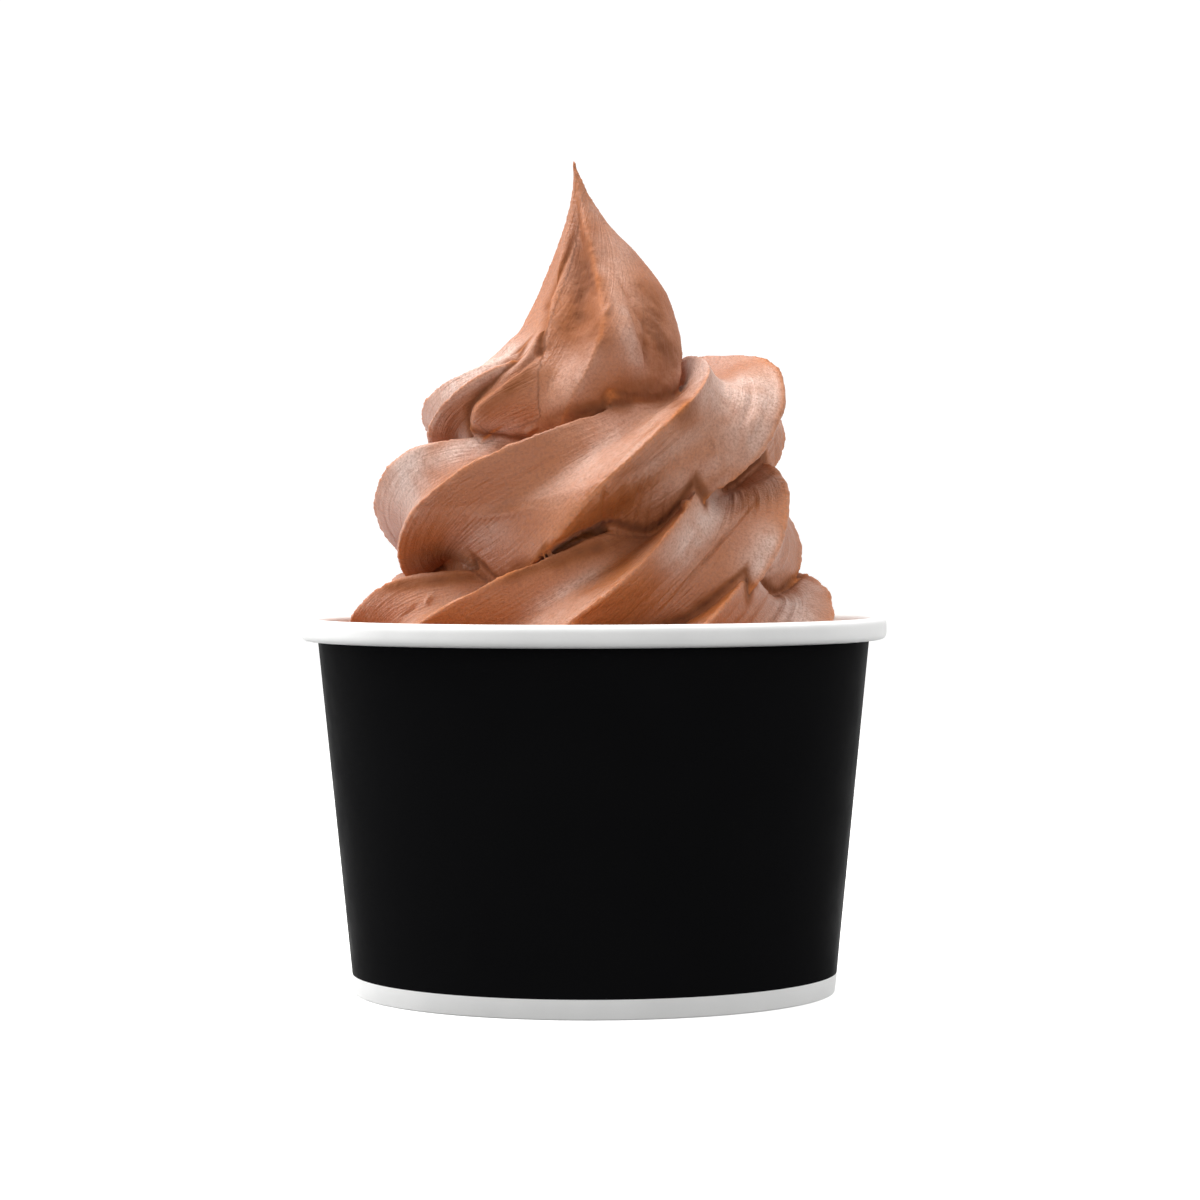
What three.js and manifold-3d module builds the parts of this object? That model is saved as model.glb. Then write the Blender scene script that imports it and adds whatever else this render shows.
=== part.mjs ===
// A paper cup filled with a ridged soft serve swirl.
// Millimetres, +Z up, the front is -Y. The origin is the centre of the cup's foot, on the
// surface that it stands on. Angles are in degrees, counter-clockwise from +X seen from above.

import * as THREE from 'three';
import { LoftGeometry } from 'three/addons/geometries/LoftGeometry.js';
import { mergeVertices } from 'three/addons/utils/BufferGeometryUtils.js';
import Module from 'manifold-3d';

// ---- cup ----
const CUP_HEIGHT = 61.2;
const RIM_RADIUS = 48;
const RIM_WIDTH = 3.3;
const RIM_HEIGHT = 3.9;
const RIM_END_ANGLE = -110;      // where the rolled edge stops, short of the wall
const FOOT_RADIUS = 39.4;
const WALL_TOP_RADIUS = 45.1;    // outside, just under the rolled rim
const PAPER = 0.5;
const PAPER_GAP = 0.3;           // between two layers of paper, and between paper and food
const FOOT_FOLD_HEIGHT = 5.2;    // the wall is folded up inside the foot this far
const FOOT_BEVEL = 0.3;
const BASE_TOP = 6.5;            // upper face of the raised base
const SKIRT_BOTTOM = 1.2;
const CUP_SIDES = 64;
const RIM_STEPS = 9;
const RIM_INNER_STEPS = 5;

// ---- food in the cup ----
const FILL_WALL_HEIGHT = 57.3;   // level of the food where it meets the wall
const FILL_CROWN = 2.4;          // it rises this much towards the coils
const FILL_SIDES = 48;

// ---- coiled rope of the swirl ----
// Each row is a place along the rope: its angle, which keeps counting from one turn to the
// next, the height of the section's centre, how far its ridges reach from the cup's axis,
// and the reach of the ridges from the section's centre. Every turn lies level round the
// back and climbs over the turn below from the front to the right.
const ROPE = [
	[ - 115, 44, 41, 13.5 ],
	[ - 25, 58, 40.8, 13.8 ],
	[ 180, 57.5, 40.3, 13.5 ],
	[ 235, 58, 40.3, 13.5 ],
	[ 270, 62.7, 38.8, 13.8 ],
	[ 295, 68.3, 37, 13.8 ],
	[ 335, 74.4, 35.4, 13.6 ],
	[ 360, 75.2, 35.9, 13.6 ],
	[ 540, 78.4, 36.2, 13.6 ],
	[ 600, 79.6, 36, 13.4 ],
	[ 630, 82.6, 35, 13.2 ],
	[ 655, 87.8, 33.6, 12.8 ],
	[ 695, 93.4, 32.4, 12.2 ],
	[ 720, 94.2, 33.4, 12.2 ],
	[ 820, 94, 33, 10 ],
	[ 900, 93, 28.6, 7.4 ],
	[ 930, 95.2, 28, 7.8 ],
	[ 945, 97, 26.4, 8 ],
	[ 955, 98.2, 24, 7.6 ],
	[ 968, 99, 19, 6.6 ],
];
const ROPE_START = - 115;
const ROPE_END = 968;
const ROPE_STEP = 7;
const ROPE_ARC_STEPS = 40;       // steps in one separately closed arc, which is less than a turn
// The rope's angle where each ridge in turn crosses its outermost line.
const RIDGES = [
	- 180, - 135, - 80, - 25, 30, 85, 135, 178, 220, 266, 328, 380, 433, 487, 535,
	578, 633, 698, 742, 793, 845, 885, 928, 990,
];
const LOBES = 5;                 // ridges round one section
const LOBE_STEPS = 4;            // mesh lines from one ridge to the next
// How far round the section, from its outermost point, a ridge has turned when it is that
// many ridge spacings on along the rope.
const RIDGE_TURN = [
	[ - 2.5, - 180 ], [ - 2.05, - 148 ], [ - 1.5, - 115 ], [ - 1, - 80 ], [ - 0.5, - 41 ], [ 0, 0 ],
	[ 0.5, 41 ], [ 1, 80 ], [ 1.5, 115 ], [ 2.05, 148 ], [ 2.5, 180 ],
];
// The lean of the ridges over and under the outermost line: below 1 they stand steeper,
// above 1 flatter.
const LEAN_ABOVE = [
	[ - 140, 1 ], [ - 40, 0.8 ], [ 30, 1 ], [ 200, 0.95 ], [ 266, 1.1 ], [ 328, 0.5 ], [ 400, 0.9 ],
	[ 578, 1 ], [ 633, 0.95 ], [ 660, 0.92 ], [ 698, 0.55 ], [ 760, 0.9 ], [ 893, 1 ], [ 990, 1.3 ],
];
const LEAN_BELOW = [
	[ - 140, 1 ], [ - 40, 0.8 ], [ 30, 1 ], [ 200, 0.95 ], [ 245, 0.7 ], [ 290, 0.6 ], [ 328, 0.5 ],
	[ 400, 0.9 ], [ 540, 1 ], [ 575, 0.75 ], [ 610, 0.5 ], [ 640, 0.6 ], [ 698, 0.45 ], [ 760, 0.9 ],
	[ 893, 1 ], [ 990, 1.3 ],
];
const LEAN_WEIGHT = 0.7;
const VALLEY_DEPTH = 0.42;       // of the ridges' reach
const RIDGE_ROUNDING = 0.04;
const TOP_PRESS = 0.15;          // the turn above presses a section's top down by this share
const MIN_RADIUS = 0.3;
const HALVINGS = 40;             // of the range of angles in the search for a ridge line
const SHORTEST_EDGE = 0.03;      // slivers finer than this are cleaned off the joined food

// ---- peak that the rope ends in ----
// Rows of height, centre in x, centre in y, reach of the ridges from that centre, and how
// much further its foot spreads at the back, into the middle of the last turn.
const PEAK = [
	[ 84, 0.6, - 11, 6, 12 ],
	[ 88, 0.8, - 11.2, 9, 12 ],
	[ 92, 0.8, - 11.4, 11.8, 11.5 ],
	[ 98.5, 0.8, - 11.1, 13.4, 9 ],
	[ 105, 0.8, - 9.5, 13.6, 4 ],
	[ 110, 1.3, - 7.4, 12.2, 1.2 ],
	[ 113.5, 1.55, - 5.8, 10.7, 0.3 ],
	[ 119.8, 0.6, - 3.6, 7.2, 0 ],
	[ 126.3, - 1.2, - 2.8, 3.3, 0 ],
	[ 131.3, - 2.2, - 2.3, 1.2, 0 ],
	[ 135.7, - 3, - 2, 0.3, 0 ],
];
const PEAK_LEVELS = 26;
const PEAK_RIDGES = [ - 100, - 52, - 5, 85, 172 ];   // from the front, positive to the right
// How much the ridges are twisted at each height.
const PEAK_TWIST = [
	[ 84, - 46 ], [ 96, - 14 ], [ 102.6, 1 ], [ 108, 8 ], [ 114, 3 ], [ 120, 0 ], [ 136, 0 ],
];
// How many times further the two left ridges reach at each height, down to the last turn.
const PEAK_FLARE = [
	[ 84, 2.2 ], [ 90, 1.85 ], [ 95, 1.6 ], [ 99, 1.3 ], [ 103, 1.1 ], [ 107, 1 ], [ 136, 1 ],
];
const FLARED_RIDGES = [ 0, 1 ];
// Rows of height and the depth of each facet's middle, as a share of its ridges' reach. The
// facet on the front left is a hollow below the tip, and the one to the right of it is full.
const FACET_DEPTH = [
	[ 84, 0.19, 0.2, 0.26, 0.46, 0.6 ],
	[ 99, 0.19, 0.2, 0.22, 0.46, 0.6 ],
	[ 103, 0.19, 0.24, 0.17, 0.46, 0.6 ],
	[ 108, 0.19, 0.34, 0.15, 0.46, 0.6 ],
	[ 119, 0.19, 0.36, 0.16, 0.46, 0.6 ],
	[ 128, 0.19, 0.3, 0.25, 0.4, 0.5 ],
	[ 136, 0.19, 0.2, 0.3, 0.3, 0.4 ],
];

// Rows of radius and height: the solid heart that the turns are wrapped round.
const CORE = [ [ 30, 50 ], [ 27, 60 ], [ 23, 76 ], [ 20, 88 ], [ 15, 95 ], [ 6, 99 ] ];

const rad = THREE.MathUtils.degToRad;

// A smooth curve through rows of [ position, value ] that doesn't overshoot them.
function smoothCurve( rows ) {

	const widths = [];
	const slopes = [];
	for ( let i = 0; i < rows.length - 1; i ++ ) {

		widths.push( rows[ i + 1 ][ 0 ] - rows[ i ][ 0 ] );
		slopes.push( ( rows[ i + 1 ][ 1 ] - rows[ i ][ 1 ] ) / widths[ i ] );

	}

	const tangents = rows.map( ( row, i ) => {

		if ( i === 0 ) return slopes[ 0 ];
		if ( i === rows.length - 1 ) return slopes[ i - 1 ];
		if ( slopes[ i - 1 ] * slopes[ i ] <= 0 ) return 0;
		const before = 2 * widths[ i ] + widths[ i - 1 ];
		const after = widths[ i ] + 2 * widths[ i - 1 ];
		return ( before + after ) / ( before / slopes[ i - 1 ] + after / slopes[ i ] );

	} );

	return ( position ) => {

		const last = rows.length - 1;
		const x = THREE.MathUtils.clamp( position, rows[ 0 ][ 0 ], rows[ last ][ 0 ] );
		let i = 0;
		while ( i < last - 1 && x >= rows[ i + 1 ][ 0 ] ) i ++;
		const t = ( x - rows[ i ][ 0 ] ) / widths[ i ];
		const rise = t * t * ( 3 - 2 * t );
		return rows[ i ][ 1 ] * ( 1 - rise ) + rows[ i + 1 ][ 1 ] * rise
			+ widths[ i ] * ( t * ( 1 - t ) ** 2 * tangents[ i ] - t * t * ( 1 - t ) * tangents[ i + 1 ] );

	};

}

function columnCurve( rows, column ) {

	return smoothCurve( rows.map( ( row ) => [ row[ 0 ], row[ column ] ] ) );

}

// ---- rope ----

const ropeHeight = columnCurve( ROPE, 1 );
const ropeReach = columnCurve( ROPE, 2 );
const ropeSize = columnCurve( ROPE, 3 );
const ridgeCount = smoothCurve( RIDGES.map( ( angle, k ) => [ angle, k ] ) );
const leanAbove = smoothCurve( LEAN_ABOVE );
const leanBelow = smoothCurve( LEAN_BELOW );
const turnSpacings = smoothCurve( RIDGE_TURN.map( ( [ spacings, turn ] ) => [ turn, spacings ] ) );

// Whole numbers of the phase are ridges and halves are valleys. It falls as the angle
// round the section rises from the outermost point over the top.
function ridgePhase( ropeAngle, sectionAngle ) {

	const ridgeLean = sectionAngle < 0 ? leanBelow( ropeAngle ) : leanAbove( ropeAngle );
	const lean = ( ridgeLean - 1 ) * LEAN_WEIGHT * Math.sin( rad( sectionAngle ) );
	return ridgeCount( ropeAngle ) - turnSpacings( sectionAngle ) - lean;

}

function sectionAngleAt( ropeAngle, phase ) {

	let low = - 180;
	let high = 180;
	for ( let i = 0; i < HALVINGS; i ++ ) {

		const middle = ( low + high ) / 2;
		if ( ridgePhase( ropeAngle, middle ) > phase ) low = middle;
		else high = middle;

	}

	return ( low + high ) / 2;

}

// Depth below the ridges, from 0 on a ridge to 1 in the middle of a valley.
function valleyShape( phase ) {

	const offset = 2 * Math.abs( phase - Math.round( phase ) );
	const rounded = Math.hypot( offset, RIDGE_ROUNDING ) - RIDGE_ROUNDING;
	return 1 - ( 1 - rounded ) ** 2;

}

function ropePoint( ropeAngle, phase ) {

	const around = rad( sectionAngleAt( ropeAngle, phase ) );
	const size = ropeSize( ropeAngle );
	const reach = size * ( 1 - VALLEY_DEPTH * valleyShape( phase ) );
	const up = Math.sin( around );
	const pressed = up * ( 1 - TOP_PRESS * Math.max( up, 0 ) ** 4 );
	const radius = Math.max( ropeReach( ropeAngle ) - size + reach * Math.cos( around ), MIN_RADIUS );
	const turn = rad( ropeAngle );
	return new THREE.Vector3(
		radius * Math.cos( turn ),
		radius * Math.sin( turn ),
		ropeHeight( ropeAngle ) + reach * pressed,
	);

}

// The points follow the ridges, so that every ridge is an edge of the mesh.
function ropeSection( ropeAngle ) {

	const lowest = ridgePhase( ropeAngle, 180 );
	const points = [];
	for ( let i = 0; i < LOBES * LOBE_STEPS; i ++ ) {

		const line = i / LOBE_STEPS;
		points.push( ropePoint( ropeAngle, line + LOBES * Math.ceil( ( lowest - line ) / LOBES ) ) );

	}

	return points;

}

function ropeArcs() {

	const count = Math.round( ( ROPE_END - ROPE_START ) / ROPE_STEP );
	const sections = [];
	for ( let i = 0; i <= count; i ++ ) {

		sections.push( ropeSection( ROPE_START + ( ROPE_END - ROPE_START ) * i / count ) );

	}

	const arcs = [];
	for ( let i = 0; i < count; i += ROPE_ARC_STEPS ) {

		const arc = sections.slice( i, i + ROPE_ARC_STEPS + 1 );
		arcs.push( new LoftGeometry( arc, { capStart: true, capEnd: true } ) );

	}

	return arcs;

}

// ---- peak ----

const peakX = columnCurve( PEAK, 1 );
const peakY = columnCurve( PEAK, 2 );
const peakReach = columnCurve( PEAK, 3 );
const peakSpread = columnCurve( PEAK, 4 );
const peakTwist = smoothCurve( PEAK_TWIST );
const peakFlare = smoothCurve( PEAK_FLARE );
const facetDepths = PEAK_RIDGES.map( ( ridge, k ) => columnCurve( FACET_DEPTH, k + 1 ) );

function ridgeReach( ridge, height ) {

	const flare = FLARED_RIDGES.includes( ridge % LOBES ) ? peakFlare( height ) : 1;
	return peakReach( height ) * flare;

}

function peakSection( height ) {

	const points = [];
	PEAK_RIDGES.forEach( ( ridge, k ) => {

		const next = k + 1 < PEAK_RIDGES.length ? PEAK_RIDGES[ k + 1 ] : PEAK_RIDGES[ 0 ] + 360;
		const depth = facetDepths[ k ]( height );
		for ( let i = 0; i < LOBE_STEPS; i ++ ) {

			const share = i / LOBE_STEPS;
			const angle = rad( ridge + ( next - ridge ) * share + peakTwist( height ) );
			const reach = ridgeReach( k, height ) * ( 1 - share ) + ridgeReach( k + 1, height ) * share;
			const radius = reach * ( 1 - depth * valleyShape( share ) );
			const back = Math.max( - Math.cos( angle ), 0 );
			points.push( new THREE.Vector3(
				peakX( height ) + radius * Math.sin( angle ),
				peakY( height ) - radius * Math.cos( angle ) + peakSpread( height ) * back * back,
				height,
			) );

		}

	} );
	return points;

}

function peakGeometry() {

	const bottom = PEAK[ 0 ][ 0 ];
	const top = PEAK[ PEAK.length - 1 ][ 0 ];
	const sections = [];
	for ( let i = 0; i <= PEAK_LEVELS; i ++ ) {

		sections.push( peakSection( bottom + ( top - bottom ) * i / PEAK_LEVELS ) );

	}

	return new LoftGeometry( sections, { capStart: true, capEnd: true } );

}

// ---- turned pieces ----

// Turns an outline of [ radius, height ] about +Z.
function turned( outline, sides ) {

	const points = outline.map( ( [ radius, height ] ) => new THREE.Vector2( radius, height ) );
	return new THREE.LatheGeometry( points, sides ).rotateX( Math.PI / 2 );

}

function wallRadius( height ) {

	const wallTop = CUP_HEIGHT - RIM_HEIGHT;
	return FOOT_RADIUS + ( WALL_TOP_RADIUS - FOOT_RADIUS ) * height / wallTop;

}

// A face inside the wall, this many sheets of paper and gaps further in.
function layerRadius( height, sheets, gaps ) {

	return wallRadius( height ) - sheets * PAPER - gaps * PAPER_GAP;

}

function rimArc( inset, fromAngle, toAngle, steps ) {

	const centreRadius = RIM_RADIUS - RIM_WIDTH / 2;
	const centreHeight = CUP_HEIGHT - RIM_HEIGHT / 2;
	const points = [];
	for ( let i = 0; i <= steps; i ++ ) {

		const angle = rad( fromAngle + ( toAngle - fromAngle ) * i / steps );
		points.push( [
			centreRadius + ( RIM_WIDTH / 2 - inset ) * Math.cos( angle ),
			centreHeight + ( RIM_HEIGHT / 2 - inset ) * Math.sin( angle ),
		] );

	}

	return points;

}

function cupWall() {

	const wallTop = CUP_HEIGHT - RIM_HEIGHT;
	const outline = [
		[ FOOT_RADIUS - FOOT_BEVEL, 0 ],
		[ wallRadius( FOOT_BEVEL ), FOOT_BEVEL ],
		[ wallRadius( wallTop ), wallTop ],
		...rimArc( PAPER, 180, RIM_END_ANGLE, RIM_INNER_STEPS ),
		...rimArc( 0, RIM_END_ANGLE, 180, RIM_STEPS ),
		[ layerRadius( wallTop, 1, 0 ), wallTop ],
		[ layerRadius( PAPER, 1, 0 ), PAPER ],
		[ layerRadius( PAPER, 2, 2 ), PAPER ],
		[ layerRadius( FOOT_FOLD_HEIGHT, 2, 2 ), FOOT_FOLD_HEIGHT ],
		[ layerRadius( FOOT_FOLD_HEIGHT, 3, 2 ), FOOT_FOLD_HEIGHT ],
		[ layerRadius( 0, 3, 2 ), 0 ],
	];
	outline.push( outline[ 0 ] );
	return turned( outline, CUP_SIDES );

}

function cupBase() {

	const underside = BASE_TOP - PAPER;
	return turned( [
		[ 0, underside ],
		[ layerRadius( underside, 2, 1 ), underside ],
		[ layerRadius( SKIRT_BOTTOM, 2, 1 ), SKIRT_BOTTOM ],
		[ layerRadius( SKIRT_BOTTOM, 1, 1 ), SKIRT_BOTTOM ],
		[ layerRadius( BASE_TOP, 1, 1 ), BASE_TOP ],
		[ 0, BASE_TOP ],
	], CUP_SIDES );

}

function fillGeometry() {

	const bottom = BASE_TOP + PAPER_GAP;
	return turned( [
		[ 0, bottom ],
		[ layerRadius( bottom, 1, 1 ), bottom ],
		[ layerRadius( FILL_WALL_HEIGHT, 1, 1 ), FILL_WALL_HEIGHT ],
		[ FOOT_RADIUS, FILL_WALL_HEIGHT + FILL_CROWN / 2 ],
		[ 0, FILL_WALL_HEIGHT + FILL_CROWN ],
	], FILL_SIDES );

}

function coreGeometry() {

	return turned( [ [ 0, CORE[ 0 ][ 1 ] ], ...CORE, [ 0, CORE[ CORE.length - 1 ][ 1 ] ] ], FILL_SIDES );

}

// ---- joining ----

const wasm = await Module();
wasm.setup();

function toSolid( geometry ) {

	const bare = new THREE.BufferGeometry().copy( geometry );
	bare.deleteAttribute( 'normal' );
	bare.deleteAttribute( 'uv' );
	const merged = mergeVertices( bare );
	return new wasm.Manifold( new wasm.Mesh( {
		numProp: 3,
		vertProperties: merged.getAttribute( 'position' ).array,
		triVerts: Uint32Array.from( merged.getIndex().array ),
	} ) );

}

function fromSolid( solid ) {

	const mesh = solid.getMesh();
	const geometry = new THREE.BufferGeometry();
	geometry.setAttribute( 'position', new THREE.BufferAttribute( mesh.vertProperties, 3 ) );
	geometry.setIndex( new THREE.BufferAttribute( mesh.triVerts, 1 ) );
	geometry.computeVertexNormals();
	return geometry;

}

// Hollows that the joining sealed come apart as shells of their own, and are filled by
// keeping only the largest shell.
function outerShell( solid ) {

	const larger = ( one, other ) => other.volume() > one.volume() ? other : one;
	return solid.decompose().reduce( larger );

}

function softServe() {

	const pieces = [ fillGeometry(), coreGeometry(), peakGeometry(), ...ropeArcs() ];
	const joined = pieces.map( toSolid ).reduce( ( whole, piece ) => whole.add( piece ) );
	return fromSolid( outerShell( joined ).simplify( SHORTEST_EDGE ) );

}

function named( name, geometry, color, roughness ) {

	const material = new THREE.MeshStandardMaterial( { color, roughness, metalness: 0 } );
	const mesh = new THREE.Mesh( geometry, material );
	mesh.name = name;
	return mesh;

}

const group = new THREE.Group();
group.add( named( 'cup_wall', cupWall(), '#16161a', 0.45 ) );
group.add( named( 'cup_base', cupBase(), '#e9e8e6', 0.6 ) );
group.add( named( 'soft_serve', softServe(), '#b57f66', 0.5 ) );

export default group;
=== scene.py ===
"""The looks of a paper cup filled with a ridged chocolate soft serve swirl.

Metres, +Z up, the front is -Y. The tables of the swirl and the cup are in millimetres and
degrees, as in the CAD source: a rope of soft serve with five ridges is laid in a coil, and
ends in a peak. Angles count counter-clockwise from +X, seen from above.
"""

import math

import bmesh
import bpy
import numpy as np
from mathutils import Matrix, Vector


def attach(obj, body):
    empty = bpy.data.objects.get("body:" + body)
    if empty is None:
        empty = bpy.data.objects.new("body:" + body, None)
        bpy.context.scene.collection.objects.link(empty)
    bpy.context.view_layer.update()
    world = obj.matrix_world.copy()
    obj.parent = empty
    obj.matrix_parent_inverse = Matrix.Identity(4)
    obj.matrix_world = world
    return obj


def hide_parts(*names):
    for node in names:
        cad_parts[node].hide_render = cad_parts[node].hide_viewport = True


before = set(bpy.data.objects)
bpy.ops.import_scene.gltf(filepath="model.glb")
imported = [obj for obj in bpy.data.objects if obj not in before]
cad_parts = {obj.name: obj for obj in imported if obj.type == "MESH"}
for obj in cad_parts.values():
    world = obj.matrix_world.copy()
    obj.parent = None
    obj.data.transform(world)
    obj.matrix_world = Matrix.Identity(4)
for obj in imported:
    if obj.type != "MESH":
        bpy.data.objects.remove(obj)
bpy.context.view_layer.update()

MM = 0.001

# ---- camera, fitted to the photograph ----
CAMERA_PLACE = (1.07, -630.0, 76.9)
CAMERA_PITCH = -1.17
CAMERA_ROLL = -0.17
PHOTO_PIXELS = 1200
FOCAL_PIXELS = 3843
SENSOR_MM = 36.0
CLIP_START, CLIP_END = 0.01, 60

# ---- swirl: the rope ----
# Rope angle, height of the section's centre, reach of its ridges from the axis, and the
# reach of the ridges from the section's centre.
ROPE = [
    (-115, 44, 41, 13.5),
    (-25, 58, 40.8, 13.8),
    (180, 57.5, 40.3, 13.5),
    (235, 58, 40.3, 13.5),
    (270, 62.7, 38.8, 13.8),
    (295, 68.3, 37, 13.8),
    (335, 74.4, 35.4, 13.6),
    (360, 75.2, 35.9, 13.6),
    (540, 78.4, 36.2, 13.6),
    (600, 79.6, 36, 13.4),
    (630, 82.6, 35, 13.2),
    (655, 87.8, 33.6, 12.8),
    (695, 93.4, 32.4, 12.2),
    (720, 94.2, 33.4, 12.2),
    (820, 94, 33, 10),
    (900, 93, 28.6, 7.4),
    (930, 95.2, 28, 7.8),
    (945, 97, 26.4, 8),
    (955, 98.2, 24, 7.6),
    (968, 99, 19, 6.6),
]
ROPE_START = -115
ROPE_END = 968
ROPE_STEP = 0.6
ROPE_SIDES = 240
ROPE_TURNS = 4
# The rope angle where each ridge in turn crosses its outermost line.
RIDGES = [
    -180, -135, -80, -25, 30, 85, 135, 178, 220, 266, 328, 380, 433, 487, 535,
    578, 633, 698, 742, 793, 845, 885, 928, 990,
]
LOBES = 5
# Spacings along the rope, and how far round the section a ridge has turned by then.
RIDGE_TURN = [
    (-2.5, -180), (-2.05, -148), (-1.5, -115), (-1, -80), (-0.5, -41), (0, 0),
    (0.5, 41), (1, 80), (1.5, 115), (2.05, 148), (2.5, 180),
]
# The lean of the ridges over and under the outermost line: below 1 they stand steeper.
LEAN_ABOVE = [
    (-140, 1), (-40, 0.8), (30, 1), (200, 0.95), (266, 1.1), (328, 0.5), (400, 0.9),
    (578, 1), (633, 0.95), (660, 0.92), (698, 0.55), (760, 0.9), (893, 1), (990, 1.3),
]
LEAN_BELOW = [
    (-140, 1), (-40, 0.8), (30, 1), (200, 0.95), (245, 0.7), (290, 0.6), (328, 0.5),
    (400, 0.9), (540, 1), (575, 0.75), (610, 0.5), (640, 0.6), (698, 0.45), (760, 0.9),
    (893, 1), (990, 1.3),
]
LEAN_WEIGHT = 0.7
VALLEY_DEPTH = 0.42
RIDGE_ROUNDING = 0.025
TOP_PRESS = 0.15
MIN_RADIUS = 0.3

# ---- swirl: the peak ----
# Height, centre in x, centre in y, reach of the ridges, spread of the foot at the back.
PEAK = [
    (84, 0.6, -11, 6, 12),
    (88, 0.8, -11.2, 9, 12),
    (92, 0.8, -11.4, 11.8, 11.5),
    (98.5, 0.8, -11.1, 13.4, 9),
    (105, 0.8, -9.5, 13.6, 4),
    (110, 1.3, -7.4, 12.2, 1.2),
    (113.5, 1.55, -5.8, 10.7, 0.3),
    (119.8, 0.6, -3.6, 7.2, 0),
    (126.3, -1.2, -2.8, 3.3, 0),
    (131.3, -2.2, -2.3, 1.2, 0),
    (135.7, -3, -2, 0.3, 0),
]
PEAK_RIDGES = [-100, -52, -5, 85, 172]  # from the front, positive to the right
PEAK_EDGES = np.array([*PEAK_RIDGES, PEAK_RIDGES[0] + 360], float)
PEAK_TWIST = [(84, -46), (96, -14), (102.6, 1), (108, 8), (114, 3), (120, 0), (136, 0)]
# Rows of height and how many times further the first two ridges, on the left, reach there
# to run into the last turn.
PEAK_FLARE = [
    (84, 2.2, 2.2),
    (90, 2.2, 1.85),
    (95, 2.05, 1.6),
    (99.9, 1.65, 1.26),
    (103.3, 1.3, 1.09),
    (106, 1.08, 1.02),
    (108, 1, 1),
    (136, 1, 1),
]
LEFT_RIDGES = [1, 1, 0, 0, 0]
# Below this height the two left ridges are rounded by this much more, which fades in over
# the blend.
SOFT_BELOW = 104
SOFT_BLEND = 4
SOFT_ROUNDING = 0.35
# Rows of height and the depth of each facet's middle, as a share of the ridges' reach.
# The facet on the front left is a deep torn hollow above, and the right one is full.
FACET_DEPTH = [
    (84, 0.19, 0.2, 0.26, 0.46, 0.6),
    (99, 0.19, 0.2, 0.22, 0.46, 0.6),
    (103, 0.19, 0.24, 0.17, 0.46, 0.6),
    (108, 0.19, 0.34, 0.15, 0.46, 0.6),
    (119, 0.19, 0.36, 0.16, 0.46, 0.6),
    (128, 0.19, 0.3, 0.25, 0.4, 0.5),
    (136, 0.19, 0.2, 0.3, 0.3, 0.4),
]
PEAK_LEVELS = 220
PEAK_SIDES = 240

# Rows of radius and height: the solid heart, and the food that fills the cup.
CORE = [(0, 50), (30, 50), (27, 60), (23, 76), (20, 88), (15, 95), (6, 99), (0, 99)]
FILL = [(0, 6.8), (39.1, 6.8), (44.2, 57.3), (39.4, 58.5), (0, 59.7)]
FILL_SIDES = 240

# ---- swirl: fine relief ----
RIDGE_SPACING = 14  # millimetres between ridges, about
MEAN_REACH = 33
CREST_WIDTH = 0.45
CREST_BREAK = 0.16
PEAK_CREST_SHARE = 0.4
COMB_DEPTH = 0.3
COMBED_ELSEWHERE = 0.3
RIB_DEPTH = 0.24
SKIN_DEPTH = 0.05
# Each noise on the swirl: the width of its bumps, and its seed.
NOISES = {
    "lumps": (9, 1),
    "small_lumps": (3.7, 2),
    "combed_patches": (8, 3),
    "skin": (0.9, 9),
    "skin_patches": (6, 10),
    "broken_crest": (0.8, 5),
    "broken_crest_lumps": (2.2, 11),
    "torn_and_shade": (0.7, 12),
    "torn_lumps": (1.3, 13),
    "torn_shade_edge": (2.5, 14),
    "contact_shade_edge": (3, 18),
    "sheen_spots": (1.6, 15),
    "sheen_clouds": (5, 16),
    "sheen_above": (9, 17),
}
# The drawn-out ones: the width of the bumps each way, a shift, and the seed.
STREAKS = {
    "coarse_combing": (0.9, 18, 0, 4),
    "fine_combing": (0.45, 9, 7, 6),
    "ribs": (0.75, 5, 0, 8),
}
# Rope angles from and to, section angles from and to, and strength.
COMBED_ZONES = [
    (330, 375, -40, 60, 1.0),
    (690, 740, -50, 50, 0.8),
    (300, 330, -30, 90, 0.5),
    (-50, 40, -60, 90, 0.8),
    (640, 690, 10, 80, 0.4),
]
COMBED_BLUR = (8, 15)  # of the rope angle and the section angle
RIBBED_ZONES = [
    (628, 678, -75, -12, 1.0),
    (700, 740, -70, -20, 0.4),
    (640, 690, 60, 120, 0.4),
]
RIBBED_BLUR = (6, 10)

# Marks on the front: x, z, half length, half width, tilt and height of each. Dents are
# below 0 and crumbs above.
MARKS = [
    (-4.8, 118.0, 6.5, 0.35, 68, -0.6),
    (-7.7, 108.5, 4.0, 0.5, 82, -0.9),
    (-8.4, 104.0, 0.7, 0.6, 0, -0.8),
    (-13.2, 100.0, 6.0, 0.45, 36, -0.7),
    (24.1, 82.8, 5.0, 0.5, 20, -0.7),
    (18.3, 71.5, 9.5, 0.25, 49, -0.6),
    (6.6, 111.6, 5.0, 0.35, -63, -0.5),
    (8.5, 104.0, 4.0, 0.35, -88, -0.5),
    (7.4, 106.5, 6.0, 0.3, -72, -0.35),
    (-29.2, 62.6, 1.6, 0.3, 35, -0.3),
    (-13.8, 78.2, 4.5, 0.7, 8, 0.45),
    (14.6, 79.6, 0.7, 0.6, 20, 0.7),
    (-26.0, 64.5, 0.8, 0.4, 50, 0.5),
    (-9.8, 91.6, 0.9, 0.4, 25, 0.6),
    (2.5, 110.6, 0.9, 0.4, 70, 0.35),
]
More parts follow.
